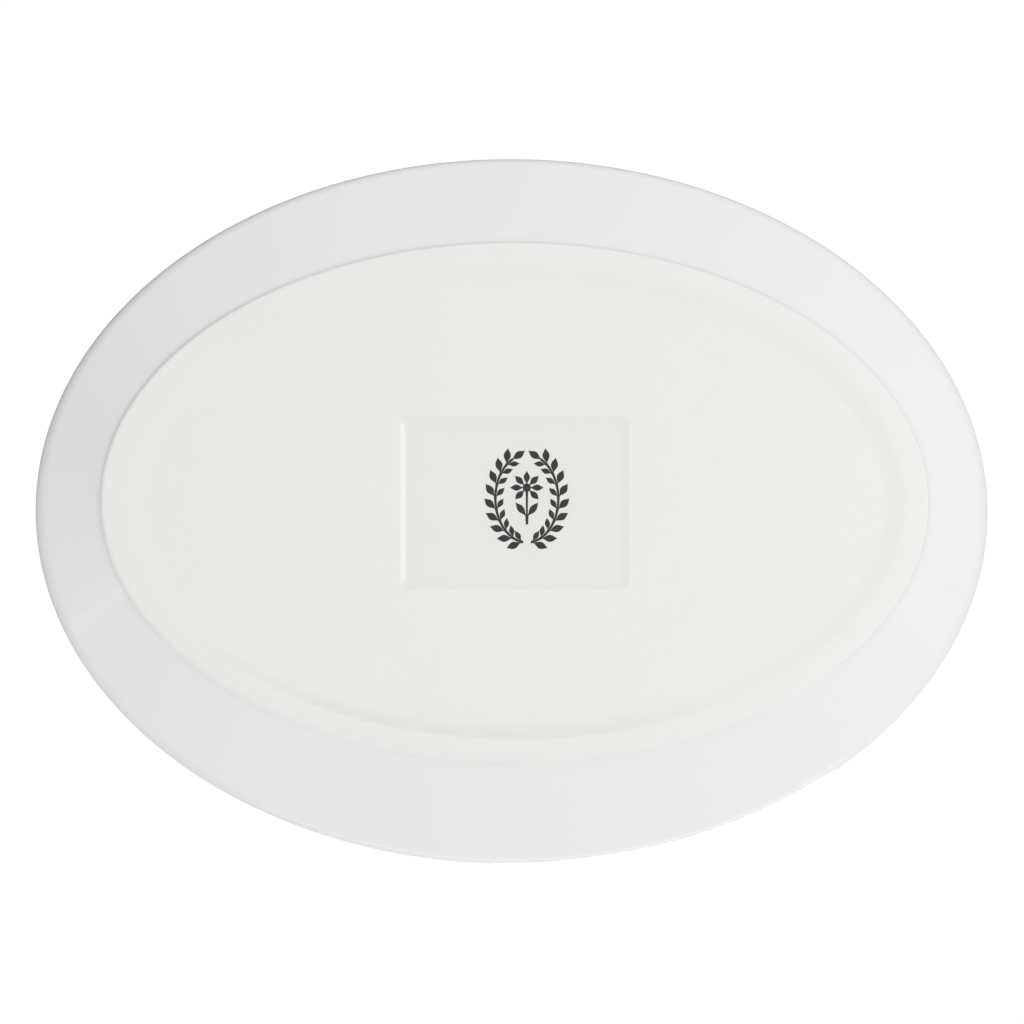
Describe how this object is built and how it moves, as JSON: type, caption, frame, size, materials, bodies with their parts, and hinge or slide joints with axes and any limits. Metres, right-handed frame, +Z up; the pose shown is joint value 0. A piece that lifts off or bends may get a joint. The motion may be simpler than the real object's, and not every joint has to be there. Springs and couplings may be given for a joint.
{
  "type": "oval serving platter",
  "caption": "Shallow oval porcelain serving platter with a flared wall, a rounded lip, an unglazed foot ring, and a glazed, printed recess under its base.",
  "frame": {"origin": "middle of the plane that the foot ring stands on, which is the bottom centre of the platter's box", "axes": "+X along the platter's length, +Y across it, +Z up out of the well; the printed mark's foot is towards +Y"},
  "size_m": [0.32, 0.238, 0.026],
  "materials": {
    "bisque": "matte",
    "clear_glaze": "gloss",
    "warm_glaze": "gloss",
    "black_ink": "satin"
  },
  "bodies": {
    "root": {"porcelain_body": "bisque", "glaze_coat": "clear_glaze", "backstamp_glaze": "warm_glaze", "ink_wreath_left": "black_ink", "ink_wreath_right": "black_ink", "ink_flower": "black_ink"}
  },
  "joints": []
}
